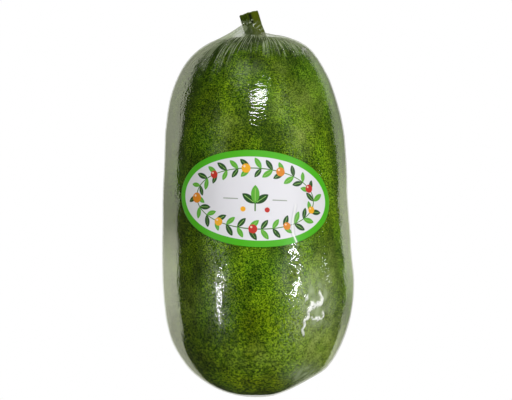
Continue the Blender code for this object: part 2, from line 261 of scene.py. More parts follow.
def ripples(points, wavelength, seed, count=26):
    """Smooth noise with a spread of about 1: plane waves in random directions, all near one wavelength."""
    random = np.random.default_rng(seed)
    directions = random.normal(size=(count, 3))
    directions /= np.linalg.norm(directions, axis=1, keepdims=True)
    waves = directions * (2.0 * math.pi / wavelength) * random.uniform(0.7, 1.35, size=(count, 1))
    phases = random.uniform(0.0, 2.0 * math.pi, size=count)
    return np.cos(points @ waves.T + phases).sum(axis=-1) * math.sqrt(2.0 / count)


def grid_normals(grid):
    """Unit normals of a grid of points whose second direction closes on itself, pointing outwards."""
    along = np.gradient(grid, axis=0)
    around = np.roll(grid, -1, axis=1) - np.roll(grid, 1, axis=1)
    normal = np.cross(around, along)
    return normal / np.maximum(np.linalg.norm(normal, axis=-1, keepdims=True), 1e-12)


def line_distance(x, y, line):
    """Distance of the points (x, y) from a broken line, and how far along the line they are, 0 to 1."""
    best = np.full(x.shape, 1e9)
    where = np.zeros(x.shape)
    corners = np.array(line, dtype=float)
    for number, (start, end) in enumerate(zip(corners[:-1], corners[1:])):
        step = end - start
        share = np.clip(((x - start[0]) * step[0] + (y - start[1]) * step[1]) / (step @ step), 0.0, 1.0)
        distance = np.hypot(x - start[0] - share * step[0], y - start[1] - share * step[1])
        nearer = distance < best
        best = np.where(nearer, distance, best)
        where = np.where(nearer, (number + share) / (len(corners) - 1), where)
    return best, where


def in_view(points):
    """Raw points as millimetres from the point under the camera."""
    return (points + PLACE - [EYE_X, EYE_Y, 0.0]) * 1000.0


def strongest_place(seen, places):
    """The strongest of the places' bell curves: strength * exp(-(x offset / wide)^2 - (y offset / long)^2)."""
    strongest = np.zeros(seen.shape[:-1])
    for x, y, wide, long, strength in places:
        spread = ((seen[..., 0] - x) / wide) ** 2 + ((seen[..., 1] - y) / long) ** 2
        strongest = np.maximum(strongest, strength * np.exp(-spread))
    return strongest


def spaced_angles(count, last, density):
    """count angles u from the blossom pole to last, spaced by density, a function of Y in the raw frame."""
    u = np.linspace(-math.pi / 2, last, 6001)
    t, share = profile(u)
    line = np.stack([FRUIT_RADIUS * share, HALF_LENGTH * t], axis=1)
    length = np.hypot(*np.diff(line, axis=0).T)
    middle = 0.5 * (line[1:, 1] + line[:-1, 1])
    travelled = np.concatenate([[0.0], np.cumsum(length * density(middle))])
    return np.interp(np.linspace(0.0, travelled[-1], count), travelled, u)


# Where the raw frame's origin goes: the film's box fixes it

def raw_place():
    """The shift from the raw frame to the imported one."""
    low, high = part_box("film")
    around = np.arange(64) * 2.0 * math.pi / 64
    u, v = np.meshgrid(angle_at(np.linspace(-0.8, 0.8, 161)), around, indexing="ij")
    skin = fruit_skin(u, v, 0.0009)[0][..., 0]
    sideways = (low[0] + high[0]) / 2.0 - (skin.min() + skin.max()) / 2.0
    return np.array([sideways, low[1] + HALF_LENGTH + 0.0009, low[2] - rest_level() + 0.0009])


PLACE = raw_place()


# Meshes

def grid_faces(rows, columns, first=0, flip=False):
    """Quads of a stack of closed rings of vertices, first index first."""
    row, column = np.meshgrid(np.arange(rows - 1), np.arange(columns), indexing="ij")
    after = (column + 1) % columns
    here, above = row * columns, (row + 1) * columns
    corners = [here + column, here + after, above + after, above + column]
    faces = np.stack(corners, axis=-1).reshape(-1, 4) + first
    return faces[:, ::-1] if flip else faces


def fan_faces(middle, ring, count, flip=False):
    """Triangles from one vertex to a ring of count vertices."""
    here = np.arange(count)
    after = (here + 1) % count
    faces = np.stack([np.full(count, middle), ring + after, ring + here], axis=-1)
    return faces[:, ::-1] if flip else faces


def add_surface(name, points, quads, triangles, material, marks=None):
    """A smooth mesh from whole arrays of points and faces, with marks as one value per vertex."""
    mesh = bpy.data.meshes.new(name)
    points = np.asarray(points).reshape(-1, 3) + PLACE
    corners = np.concatenate([np.ravel(quads), np.ravel(triangles)]).astype(np.int32)
    starts = np.concatenate([np.arange(len(quads)) * 4, len(quads) * 4 + np.arange(len(triangles)) * 3])
    mesh.vertices.add(len(points))
    mesh.vertices.foreach_set("co", points.astype(np.float32).ravel())
    mesh.loops.add(len(corners))
    mesh.loops.foreach_set("vertex_index", corners)
    mesh.polygons.add(len(starts))
    mesh.polygons.foreach_set("loop_start", starts.astype(np.int32))
    mesh.update(calc_edges=True)
    mesh.shade_smooth()
    for name_of_mark, values in (marks or {}).items():
        attribute = mesh.attributes.new(name_of_mark, "FLOAT", "POINT")
        attribute.data.foreach_set("value", np.ravel(values).astype(np.float32))
    mesh.materials.append(material)
    piece = bpy.data.objects.new(name, mesh)
    bpy.context.scene.collection.objects.link(piece)
    return piece


# Shader helpers

def add(tree, kind, inputs=None, **settings):
    """A shader node with its settings, and values or links for its inputs."""
    made = tree.nodes.new("ShaderNode" + kind)
    for name, value in settings.items():
        setattr(made, name, value)
    for key, value in (inputs or {}).items():
        if isinstance(value, bpy.types.NodeSocket):
            tree.links.new(value, made.inputs[key])
        else:
            made.inputs[key].default_value = value
    return made


def calc(tree, operation, a, b=0.0, clamp=False):
    """A math node's result."""
    return add(tree, "Math", {0: a, 1: b}, operation=operation, use_clamp=clamp).outputs[0]


def vector(tree, operation, a, b=(0.0, 0.0, 0.0)):
    """A vector math node's result, a number where the operation gives one."""
    outputs = add(tree, "VectorMath", {0: a, 1: b}, operation=operation).outputs
    return outputs["Value" if operation in ("LENGTH", "DOT_PRODUCT") else "Vector"]


def times(tree, *values):
    """The product of two or more values."""
    product = values[0]
    for value in values[1:]:
        product = calc(tree, "MULTIPLY", product, value)
    return product


def ramp(tree, value, low, high, start=0.0, end=1.0):
    """A smooth change from start to end as value goes from low to high."""
    inputs = {"Value": value, "From Min": low, "From Max": high, "To Min": start, "To Max": end}
    return add(tree, "MapRange", inputs, interpolation_type="SMOOTHSTEP").outputs[0]


def blend(tree, factor, a, b):
    """A mix of two plain values, a where factor is 0."""
    return add(tree, "Mix", {0: factor, 2: a, 3: b}).outputs[0]


def mix(tree, factor, a, b):
    """A mix of two colours, a where factor is 0."""
    return add(tree, "Mix", {0: factor, 6: a, 7: b}, data_type="RGBA").outputs[2]


def noise(tree, place, scale, detail=2.0, roughness=0.5):
    """A noise value round 0.5."""
    inputs = {"Vector": place, "Scale": scale, "Detail": detail, "Roughness": roughness}
    return add(tree, "TexNoise", inputs).outputs["Fac"]


def stretched(tree, place, scale, turn=(0.0, 0.0, 0.0)):
    """Coordinates scaled and turned."""
    return add(tree, "Mapping", {"Vector": place, "Scale": scale, "Rotation": turn}).outputs[0]


def mark(tree, name):
    """A value stored on the mesh."""
    return add(tree, "Attribute", attribute_name=name).outputs["Fac"]


def new_material(name):
    """An empty material and its tree."""
    material = bpy.data.materials.new(name)
    material.use_nodes = True
    material.node_tree.nodes.clear()
    return material, material.node_tree


def surfaced(material, kind, inputs):
    """The material, with a new shader node of this kind as its surface."""
    tree = material.node_tree
    add(tree, "OutputMaterial", {"Surface": add(tree, kind, inputs).outputs[0]})
    return material


def colour(red, green, blue):
    """A colour with full alpha."""
    return (red, green, blue, 1.0)


# Materials

def rind_material():
    """Dark green rind, mottled with yellow-green flecks, pale patches, long dark streaks and a few black dots.

    A fine and a coarse grain choose between dark, middle and pale green. Slow clouds and the blossom end
    make the hue yellower. Painted shade darkens the left side, the lower left and the stem end, and
    painted light brightens the right side and the blossom end.
    """
    material, tree = new_material("rind")
    place = add(tree, "TexCoord").outputs["Object"]
    x, y, _ = add(tree, "SeparateXYZ", {0: place}).outputs
    patches = ramp(tree, noise(tree, stretched(tree, place, (1.0, 0.55, 1.0)), 55.0, 3.0, 0.6), 0.34, 0.66)
    clouds = ramp(tree, noise(tree, stretched(tree, place, (1.0, 0.7, 1.3)), 27.0, 2.5), 0.38, 0.62)
    streaks = ramp(tree, noise(tree, stretched(tree, place, (1.0, 0.12, 1.0)), 75.0, 2.0), 0.52, 0.68)
    low_end = ramp(tree, y, -0.040, -0.115)
    hues = times(tree, clouds, ramp(tree, y, 0.060, -0.060, 0.45, 0.65))
    hues = calc(tree, "ADD", hues, times(tree, low_end, 0.45), clamp=True)
    fine_grain = noise(tree, place, 1250.0, 1.5, 0.6)
    coarse_grain = noise(tree, place, 620.0, 2.0, 0.6)
    grain = blend(tree, ramp(tree, low_end, 0.0, 1.0, 0.30, 0.62), fine_grain, coarse_grain)
    dark = mix(tree, hues, colour(0.011, 0.038, 0.001), colour(0.027, 0.046, 0.001))
    middle = mix(tree, hues, colour(0.070, 0.174, 0.004), colour(0.110, 0.178, 0.001))
    pale = mix(tree, hues, colour(0.208, 0.368, 0.012), colour(0.280, 0.350, 0.005))
    skin = mix(tree, ramp(tree, grain, 0.42, 0.50), dark, middle)
    skin = mix(tree, ramp(tree, grain, 0.51, 0.60), skin, pale)
    skin = mix(tree, times(tree, streaks, 0.5), skin, colour(0.036, 0.076, 0.005))
    # Painted shade darkens the left side, and painted light brightens the right side
    sides = times(tree, ramp(tree, x, -0.050, -0.014, 0.54, 1.0), ramp(tree, x, 0.006, 0.045, 1.0, 1.16))
    # Painted light brightens the blossom end, and painted shade darkens the stem end
    ends = times(tree, ramp(tree, y, -0.088, -0.106, 0.94, 1.20), ramp(tree, y, 0.072, 0.100, 1.0, 0.68))
    # Painted shade in the lower left
    lower_left_painted_shade = times(tree, ramp(tree, x, -0.014, -0.034), ramp(tree, y, -0.060, -0.085), 0.26)
    mottling = ramp(tree, patches, 0.0, 1.0, 0.62, 1.30)
    # The rind's own mottling times the painted light and shade
    shade = times(tree, mottling, sides, ends, calc(tree, "SUBTRACT", 1.0, lower_left_painted_shade))
    skin = add(tree, "VectorMath", {0: skin, 3: shade}, operation="SCALE").outputs[0]
    grainy = ramp(tree, grain, 0.40, 0.58, 0.40, 1.0)
    paleness = calc(tree, "MULTIPLY", mark(tree, "paleness"), grainy, clamp=True)
    skin = mix(tree, paleness, skin, colour(0.350, 0.440, 0.090))
    dots = add(tree, "TexVoronoi", {"Vector": place, "Scale": 26.0}, feature="F1").outputs["Distance"]
    skin = mix(tree, ramp(tree, dots, 0.022, 0.034, 1.0, 0.0), skin, colour(0.004, 0.006, 0.002))
    bump = add(tree, "Bump", {"Height": grain, "Strength": 0.35, "Distance": 0.0003}).outputs[0]
    inputs = {"Base Color": skin, "Roughness": 0.55, "Specular IOR Level": 0.02, "Normal": bump}
    return surfaced(material, "BsdfPrincipled", inputs)


def stem_material():
    """Olive green stem with painted shade on its -X side, lengthwise fibres, near-black painted shade in its
    groove, and a paler cut.
    """
    material, tree = new_material("stem")
    place = add(tree, "TexCoord").outputs["Object"]
    fibres = noise(tree, stretched(tree, place, (1.0, 0.15, 1.0)), 1800.0, 3.0, 0.6)
    # Painted shade: the -X side is darker
    side = ramp(tree, mark(tree, "side"), -0.5, 0.6)
    skin = mix(tree, side, colour(0.030, 0.055, 0.003), colour(0.066, 0.086, 0.002))
    skin = mix(tree, ramp(tree, fibres, 0.42, 0.62, 0.0, 0.35), skin, colour(0.100, 0.125, 0.008))
    # Painted shade: the groove is near black
    skin = mix(tree, mark(tree, "groove"), skin, colour(0.006, 0.009, 0.003))
    skin = mix(tree, mark(tree, "cut"), skin, colour(0.200, 0.230, 0.070))
    bump = add(tree, "Bump", {"Height": fibres, "Strength": 0.5, "Distance": 0.0003}).outputs[0]
    inputs = {"Base Color": skin, "Roughness": 0.62, "Specular IOR Level": 0.03, "Normal": bump}
    return surfaced(material, "BsdfPrincipled", inputs)


def film_material():
    """Clear film with fine puckers, a sharp reflection that grows at a glance, and whitish haze in creases.

    Seen squarely, the puckered film reflects only in small specks. They are round on the body, and drawn out
    along a slant at the stem end. The fan of strokes round the stem is noise over the turn and the distance.
    The whitish haze and strokes are partly the film's own whitening and partly painted highlight and sheen.
    """
    material, tree = new_material("film")
    place = add(tree, "TexCoord").outputs["Object"]
    slant = (0.0, 0.0, math.radians(-24))
    drawn = mark(tree, "drawn")

    liveliness = ramp(tree, noise(tree, place, 170.0, 1.0, 0.5), 0.42, 0.60, 0.34, 0.60)
    round_puckers = times(tree, noise(tree, place, 740.0, 1.0, 0.5), liveliness)
    long_puckers = noise(tree, stretched(tree, place, (0.40, 1.1, 1.0), slant), 620.0, 1.0, 0.5)
    puckers = blend(tree, drawn, round_puckers, long_puckers)

    distance = mark(tree, "distance")
    fan = add(tree, "CombineXYZ", {"X": mark(tree, "turn"), "Y": distance}).outputs[0]
    near = noise(tree, stretched(tree, fan, (40.0, 36.0, 1.0)), 1.0, 1.0, 0.5)
    far = noise(tree, stretched(tree, fan, (58.0, 36.0, 1.0)), 1.0, 1.0, 0.5)
    fine = blend(tree, ramp(tree, distance, 0.026, 0.036), near, far)
    broad = noise(tree, stretched(tree, fan, (7.0, 70.0, 1.0)), 1.0, 2.5, 0.6)
    streaks = times(tree, ramp(tree, fine, 0.54, 0.575), mark(tree, "fan_fine"))
    folds = times(tree, ramp(tree, broad, 0.50, 0.62), mark(tree, "fan_broad"))
    height = calc(tree, "ADD", puckers, streaks)
    bump = add(tree, "Bump", {"Height": height, "Strength": 1.0, "Distance": 0.00020}).outputs[0]

    round_specks = noise(tree, stretched(tree, place, (1.0, 0.7, 1.0)), 560.0, 1.5, 0.55)
    round_specks = ramp(tree, round_specks, 0.40, 0.50, 0.04, 1.0)
    long_specks = noise(tree, stretched(tree, place, (0.45, 1.7, 1.0), slant), 420.0, 1.5, 0.55)
    long_specks = ramp(tree, long_specks, 0.36, 0.46, 0.03, 1.0)
    specks = blend(tree, drawn, round_specks, long_specks)

    clear = add(tree, "BsdfTransparent", {"Color": colour(0.97, 0.98, 0.96)})
    gloss = add(tree, "BsdfGlossy", {"Color": colour(1.0, 1.0, 1.0), "Roughness": 0.11, "Normal": bump})
    glance = add(tree, "Fresnel", {"IOR": 1.8, "Normal": bump}).outputs[0]
    outside = calc(tree, "SUBTRACT", 1.0, add(tree, "NewGeometry").outputs["Backfacing"])
    whole_sheen = calc(tree, "MAXIMUM", specks, ramp(tree, glance, 0.085, 0.13))
    share = times(tree, glance, outside, whole_sheen)
    skin = add(tree, "MixShader", {0: share, 1: clear.outputs[0], 2: gloss.outputs[0]})

    # Fold crests are white, partly from the film's own crease whitening and partly as painted highlight
    fold = mark(tree, "fold")
    whitish = mix(tree, fold, colour(0.59, 0.69, 0.42), colour(1.0, 1.0, 0.98))
    pale = add(tree, "BsdfDiffuse", {"Color": whitish})
    ragged = ramp(tree, noise(tree, place, 520.0, 2.0, 0.6), 0.32, 0.47, 0.50, 1.0)
    creases = times(tree, mark(tree, "crease_and_highlight"), blend(tree, fold, 1.0, ragged))
    # Whitish strokes on the gathers, partly painted highlight
    strokes = times(tree, calc(tree, "MAXIMUM", streaks, folds), 0.56)
    haze = calc(tree, "ADD", creases, strokes, clamp=True)
    return surfaced(material, "MixShader", {0: haze, 1: skin.outputs[0], 2: pale.outputs[0]})


def label_material():
    """Printed label, lightly glossy: leaves, stalks and round fruits on a pale field, and a green ring, with a
    painted highlight along its fold and painted shade beside it.
    """
    material, tree = new_material("label")
    paper = colour(0.80, 0.78, 0.85)

    def inside(name, edge=0.00012):
        """1 inside a printed shape and 0 outside it, with a soft edge."""
        return ramp(tree, mark(tree, name), -edge, edge, 1.0, 0.0)

    ink = mix(tree, inside("stalk"), paper, colour(0.070, 0.200, 0.020))
    ink = mix(tree, inside("dark_leaf"), ink, colour(0.012, 0.070, 0.010))
    ink = mix(tree, inside("light_leaf"), ink, colour(0.110, 0.420, 0.030))
    ink = mix(tree, inside("vein", 0.00010), ink, colour(0.300, 0.560, 0.120))
    kind = mark(tree, "berry_kind")
    round_colour = mix(tree, kind, colour(0.560, 0.022, 0.014), colour(0.900, 0.420, 0.010))
    ink = mix(tree, inside("berry"), ink, round_colour)
    ink = mix(tree, inside("berry_light", 0.00030), ink, colour(0.900, 0.750, 0.600))
    ink = mix(tree, inside("rule"), ink, colour(0.300, 0.340, 0.280))
    ring = ramp(tree, mark(tree, "edge"), 0.00400, 0.00420, 1.0, 0.0)
    ink = mix(tree, ring, ink, colour(0.072, 0.460, 0.006))
    # Painted shade beside the fold, and a white painted highlight along it
    ink = mix(tree, mark(tree, "crease_painted_shade"), ink, colour(0.25, 0.26, 0.28))
    ink = mix(tree, mark(tree, "crease_and_highlight"), ink, colour(0.95, 0.95, 0.95))
    rough = ramp(tree, mark(tree, "crease_and_highlight"), 0.0, 1.0, 0.42, 0.12)
    gloss = ramp(tree, mark(tree, "crease_and_highlight"), 0.0, 1.0, 0.40, 1.0)
    inputs = {"Base Color": ink, "Roughness": rough, "Specular IOR Level": gloss}
    return surfaced(material, "BsdfPrincipled", inputs)


# The fruit and its stem

def make_melon():
    """The fruit: the CAD skin on a finer grid, moved out along its normals by the rind's low lumps."""
    around = np.arange(MELON_SECTORS) * 2.0 * math.pi / MELON_SECTORS
    angles = spaced_angles(MELON_RINGS, math.pi / 2, np.ones_like)[1:-1]
    u, v = np.meshgrid(angles, around, indexing="ij")
    skin, radius = fruit_skin(u, v, 0.0)
    skin[..., 1] += np.where(u > 0, -crown_dish(radius), blossom_dish(radius))
    skin = skin + grid_normals(skin) * skin_lumps(skin)[..., None]
    skin[..., 2] = np.maximum(skin[..., 2], rest_level())
    blossom = np.array([axis_at(-1.0)[0], -HALF_LENGTH + float(blossom_dish(0.0)), axis_at(-1.0)[1]])
    points = np.concatenate([skin.reshape(-1, 3), [blossom], [stem_pole()]])
    count = len(points)
    quads = grid_faces(len(angles), MELON_SECTORS)
    ends = [fan_faces(count - 2, 0, MELON_SECTORS),
            fan_faces(count - 1, (len(angles) - 1) * MELON_SECTORS, MELON_SECTORS, flip=True)]
    paleness = strongest_place(in_view(points), PALE_PLACES) * (0.85 + 0.25 * ripples(points, 0.010, 41))
    marks = {"paleness": paleness}
    return add_surface("melon_skin", points, quads, np.concatenate(ends), rind_material(), marks)


def skin_lumps(points):
    """How far the rind stands out or in: waves about 24 mm long, and much lower ones about 6 mm long."""
    return 0.00010 * ripples(points, 0.024, 3) + 0.000012 * ripples(points, 0.006, 4)


def make_stem():
    """The stem: the CAD's ribbed stub on a finer grid, with a groove up its top side and a sunken pith.

    Rings run from the middle of the foot up the sides and into the cut. The sides' radius is the CAD radius
    times (1 + low sine ridges - groove), and the cut's rings shrink the top ring towards its middle.
    """
    around = np.arange(STEM_SECTORS) * 2.0 * math.pi / STEM_SECTORS
    height, angle = np.meshgrid(np.linspace(0.0, STEM_LENGTH, STEM_RINGS), around, indexing="ij")
    share = height / STEM_LENGTH
    groove = np.exp(-((np.angle(np.exp(1j * (angle - 0.05))) / 0.20) ** 2))
    groove *= smooth_step(0.45, 0.62, share) * (1.0 - 0.7 * smooth_step(0.94, 1.0, share))
    ridges = 0.010 * np.cos(17 * angle + 3.0 * np.sin(400.0 * height))
    ridges += 0.006 * np.cos(31 * angle + 250.0 * height)
    radius = stem_radius(height, angle) * (1.0 + ridges - 0.16 * groove)
    circle = np.stack([np.sin(angle), np.zeros_like(angle), np.cos(angle)], axis=-1)
    sides = circle * radius[..., None] + stem_middle(height)
    sole = crown_height(stem_radius(0.0, around)) + STEM_GAP - stem_pole()[1]
    sides[..., 1] += (1.0 - share) * sole + share * math.tan(STEM_CUT) * np.sin(angle) * STEM_RADIUS

    inner = np.linspace(0.97, 0.06, CUT_RINGS)[:, None, None]
    middle = sides[-1].mean(axis=0)
    cut = middle + (sides[-1] - middle) * inner
    rim = 0.0005 * smooth_step(1.0, 0.9, inner[..., 0])
    pith = 0.0009 * smooth_step(0.55, 0.25, inner[..., 0])
    cut[..., 1] += rim - pith + 0.00010 * ripples(cut, 0.003, 12)

    foot_radius = stem_radius(0.0, around) * np.linspace(0.1, 0.9, FOOT_RINGS)[:, None]
    foot = circle[0] * foot_radius[..., None] + stem_pole()
    foot[..., 1] = crown_height(foot_radius) + STEM_GAP

    rings = np.concatenate([foot, sides, cut])
    rows = len(rings)
    middles = [stem_pole() + [0.0, STEM_GAP, 0.0], cut[-1].mean(axis=0)]
    points = np.concatenate([rings.reshape(-1, 3), middles])
    count = len(points)
    ends = [fan_faces(count - 2, 0, STEM_SECTORS),
            fan_faces(count - 1, (rows - 1) * STEM_SECTORS, STEM_SECTORS, flip=True)]
    # The groove, which the stem's colour fills with near-black painted shade
    groove_rows = np.zeros((rows, STEM_SECTORS))
    groove_rows[FOOT_RINGS:FOOT_RINGS + STEM_RINGS] = groove
    # The sine of the turn, for the painted shade on the -X side
    shaded_side_rows = np.broadcast_to(np.sin(around), (rows, STEM_SECTORS))
    cut_rows = np.zeros((rows, STEM_SECTORS))
    cut_rows[FOOT_RINGS + STEM_RINGS:] = 1.0
    marks = {"groove": np.append(groove_rows, [0.0, 0.0]), "side": np.append(shaded_side_rows, [0.0, 0.0]),
             "cut": np.append(cut_rows, [0.0, 1.0])}
    quads = grid_faces(rows, STEM_SECTORS)
    return add_surface("stem_stub", points, quads, np.concatenate(ends), stem_material(), marks)


# The film

def film_base():
    """(points, turn) of the film's smooth sheet: over the fruit to the shoulder, up in a tent, along the stem.

    The tent is a quadratic Bezier curve at each turn, from the shoulder towards an elbow on the shoulder's
    tangent and then to the sleeve's foot. The sleeve is the stem's own shape, a little farther out.
    """
    even = np.arange(FILM_SECTORS) * 2.0 * math.pi / FILM_SECTORS
    around = even - 0.40 * np.sin(even)

    def density(y):
        """How closely the rings lie: closer near the folds and at the stem end."""
        near_folds = np.exp(-(((y + 0.061) / 0.022) ** 4))
        return 1.0 + 1.7 * near_folds + 0.9 * smooth_step(0.075, 0.100, y)

    shoulder_share = (TENT_REACH - REACH_TILT * np.sin(around)) / (FRUIT_RADIUS * (1.0 - STEM_TAPER))
    last = np.arccos(shoulder_share ** (STEM_END[1] / 2))
    turn_at, usual = 1.0, 1.42
    plain = spaced_angles(FILM_BODY + 1, usual, density)[1:]
    past = np.clip((plain - turn_at) / (usual - turn_at), 0.0, 1.0)[:, None]
    u = np.minimum(plain, turn_at)[:, None] + past * (last - turn_at)
    skin = fruit_skin(u, np.broadcast_to(around, u.shape), FILM_OUT)[0]

    circle = np.stack([np.sin(around), np.zeros(FILM_SECTORS), np.cos(around)], axis=-1)
    foot_height = COLLAR_FOOT - COLLAR_TILT * np.sin(around)
    foot_radius = stem_radius(foot_height, around) + 0.0004
    foot = stem_middle(foot_height) + circle * foot_radius[:, None]
    shoulder = skin[-1]
    step = skin[-1] - skin[-2]
    slope = step / np.linalg.norm(step[:, ::2], axis=1)[:, None]
    span = np.linalg.norm((foot - shoulder)[:, ::2], axis=1)
    elbow = shoulder + slope * (TENT_BOW * span)[:, None]
    share = np.linspace(0.0, 1.0, FILM_TENT + 1)[1:, None, None]
    tent = (1 - share) ** 2 * shoulder + 2 * share * (1 - share) * elbow + share**2 * foot

    up = np.linspace(0.0, 1.0, FILM_SLEEVE + 1)[1:, None]
    ragged = 0.0005 * np.sin(3 * around + 1.0) + 0.0004 * np.sin(11 * around) + 0.0002 * np.sin(29 * around)
    height = foot_height + (COLLAR_TOP + 0.0004 + ragged - foot_height) * up
    crumple = 0.00006 * np.sin(23 * around + 900.0 * height) + 0.00005 * np.sin(41 * around - 600.0 * height)
    sleeve = stem_middle(height) + circle * (stem_radius(height, around) + 0.0006 + crumple)[..., None]
    points = np.concatenate([skin, tent, sleeve])
    return points, np.broadcast_to(around, points.shape[:2])


def pleat_height(from_stem, around):
    """Height (0 to 1) of the gathers round the stem: fine radial ridges of uneven reach, strength and spacing.

    Across itself each ridge is a bell curve that widens away from the stem, and the highest ridge wins.
    """
    random = np.random.default_rng(21)
    count = 110
    places = (np.arange(count) + random.uniform(-0.38, 0.38, count)) * 2.0 * math.pi / count
    reaches = random.uniform(0.030, 0.048, count) + 0.010 * np.maximum(0.0, -np.sin(places))
    strengths = random.uniform(0.25, 1.0, count)
    bends = random.uniform(-0.05, 0.05, count)
    highest = np.zeros(from_stem.shape)
    for place, reach, strength, bend in zip(places, reaches, strengths, bends):
        turn = np.angle(np.exp(1j * (around - place - bend * from_stem / 0.03)))
        off = turn * np.maximum(from_stem, 0.006)
        ridge = np.exp(-((off / (0.00020 + 0.0042 * from_stem)) ** 2))
        highest = np.maximum(highest, strength * ridge * (1.0 - smooth_step(0.62 * reach, reach, from_stem)))
    return highest


def film_folds(base, upper):
    """(rise, crest, fold) of FILM_FOLDS: how far the film stands up, how whitish it is, partly as painted
    highlight, and where that is.

    A fold falls off smoothly with the distance from its line. It is widest at 0.4 of its length, lower
    towards its ends, and frayed by noise.
    """
    seen = in_view(base)
    wander = 0.30 * ripples(base, 0.005, 31)
    uneven = 1.0 + 0.16 * ripples(base, 0.006, 32)
    frayed = 0.08 * ripples(base, 0.0022, 33) - 0.06
    rise, crest, fold = np.zeros(upper.shape), np.zeros(upper.shape), np.zeros(upper.shape)
    for line, height, width, whiteness in FILM_FOLDS:
        distance, where = line_distance(seen[..., 0] + wander, seen[..., 1] - wander, line)
        ends = smooth_step(0.0, 0.12, where) * (1.0 - smooth_step(0.88, 1.0, where))
        taper = 0.55 + 0.60 * np.exp(-(((where - 0.40) / 0.16) ** 2))
        ridge = (1.0 - smooth_step(0.0, width * uneven * taper, distance)) * upper * (0.25 + 0.75 * ends)
        rise += 0.001 * height * ridge
        fading = 1.0 - 0.35 * smooth_step(0.5, 0.9, where)
        white = smooth_step(0.18, 0.62, ridge + frayed) * whiteness * fading
        crest = np.maximum(crest, white)
        fold = np.maximum(fold, smooth_step(0.0, 0.3, white))
    return rise, crest, fold


def sleeve_wrinkles(base, around):
    """Whitish wrinkles, partly painted highlight, where a sine of height and turn is near 0, so they climb
    askew. Another thins them.
    """
    climb = 1100.0 * (base[..., 1] - stem_pole()[1])
    line = np.abs(np.sin(climb - 3.8 * around + 0.5 * np.sin(3.0 * around)))
    unbroken = smooth_step(-0.35, 0.35, np.sin(4.0 * around + 0.62 * climb + 0.6))
    return 0.66 * (1.0 - smooth_step(0.08, 0.36, line)) * (0.30 + 0.70 * unbroken)


def make_film():
    """The film: the smooth sheet moved out along its normals by lumps, ripples, pleats and folds.

    Its marks tell the material where it is creased and hazy, where painted highlight and painted sheen whiten
    it, and how far round and away from the stem it is.
    """
    base, around = film_base()
    ring = np.broadcast_to(np.arange(len(base))[:, None], around.shape)
    from_stem = np.linalg.norm((base - stem_pole())[..., ::2], axis=-1)
    at_stem_end = smooth_step(0.02, 0.05, base[..., 1])
    on_fruit = 1.0 - smooth_step(FILM_BODY - 8, FILM_BODY + 2, ring)
    on_sleeve = smooth_step(FILM_BODY + FILM_TENT - 6, FILM_BODY + FILM_TENT + 2, ring)
    on_tent = smooth_step(FILM_BODY - 14, FILM_BODY + 4, ring) * (1.0 - on_sleeve)
    left_side = smooth_step(0.15, 0.75, -np.sin(around))
    upper = smooth_step(0.0, 0.01, base[..., 2])

    pleats = pleat_height(from_stem, around) * at_stem_end
    fold_rise, crest, fold = film_folds(base, upper)
    rise = on_fruit * skin_lumps(base) + 0.00012 * pleats + fold_rise
    rise += 0.000022 * ripples(base, 0.014, 7) + 0.000008 * ripples(base, 0.004, 9)
    points = base + grid_normals(base) * rise[..., None]
    points[..., 2] = np.maximum(points[..., 2], rest_level() - FILM_OUT)

    # Whitish haze where the film lies slack, and painted sheen where soft light would reflect
    haze_and_sheen = strongest_place(in_view(base), HAZE_AND_SHEEN_PLACES) * upper * (0.8 + 0.25 * ripples(base, 0.006, 15))
    # Whitish haze, partly the film's own whitening and partly painted highlight
    crease_and_highlight = np.maximum(0.05 * pleats * smooth_step(0.012, 0.026, from_stem), crest)
    crease_and_highlight = crease_and_highlight + 0.30 * left_side * on_tent + sleeve_wrinkles(base, around) * on_sleeve + haze_and_sheen
    turn = (around + math.pi) % (2.0 * math.pi) - math.pi
    reach = 0.0430 + 0.0090 * smooth_step(0.05, 0.50, -np.sin(turn)) + 0.0014 * ripples(base, 0.007, 17)
    fan = smooth_step(0.015, 0.022, from_stem) * (1.0 - smooth_step(0.72, 1.0, from_stem / reach))
    marks = {"crease_and_highlight": np.clip(crease_and_highlight, 0.0, 0.97), "fold": fold,
             "drawn": smooth_step(0.035, 0.065, base[..., 1]),
             "turn": turn, "distance": from_stem,
             "fan_fine": fan * at_stem_end, "fan_broad": on_tent * (0.3 + 0.7 * left_side)}
    marks = {name: np.append(values, 0.0) for name, values in marks.items()}

    pole = np.array([axis_at(-1.0)[0], -HALF_LENGTH - FILM_OUT, axis_at(-1.0)[1]])
    points = np.concatenate([points.reshape(-1, 3), [pole]])
    quads = grid_faces(len(base), FILM_SECTORS)
    end = fan_faces(len(points) - 1, 0, FILM_SECTORS)
    return add_surface("film_wrap", points, quads, end, film_material(), marks)


# The label

def label_place(a, b, outward):
    """The raw point of the label at a across and b along, in metres on the flat label."""
    across = a * math.cos(LABEL_TURN) - b * math.sin(LABEL_TURN)
    along = a * math.sin(LABEL_TURN) + b * math.cos(LABEL_TURN) + LABEL_Y
    t = along / (HALF_LENGTH + outward)
    return fruit_skin(angle_at(t), (across + LABEL_X) / FRUIT_RADIUS, outward)[0]


def leaf_distances(a, b, foot_a, foot_b, heading, length, width):
    """Signed distances, below 0 inside, to a pointed leaf and to its middle vein.

    The leaf is the overlap of two discs, and the vein a thin line from near its foot towards its tip.
    """
    x, y = a - foot_a, b - foot_b
    along = x * math.cos(heading) + y * math.sin(heading)
    across = -x * math.sin(heading) + y * math.cos(heading)
    half, rise = length / 2, width / 2
    radius = (half * half + rise * rise) / (2 * rise)
    leaf = np.hypot(along - half, np.abs(across) + radius - rise) - radius
    vein = np.hypot(along - np.clip(along, 0.15 * length, 0.8 * length), across) - 0.05 * width
    return leaf, vein


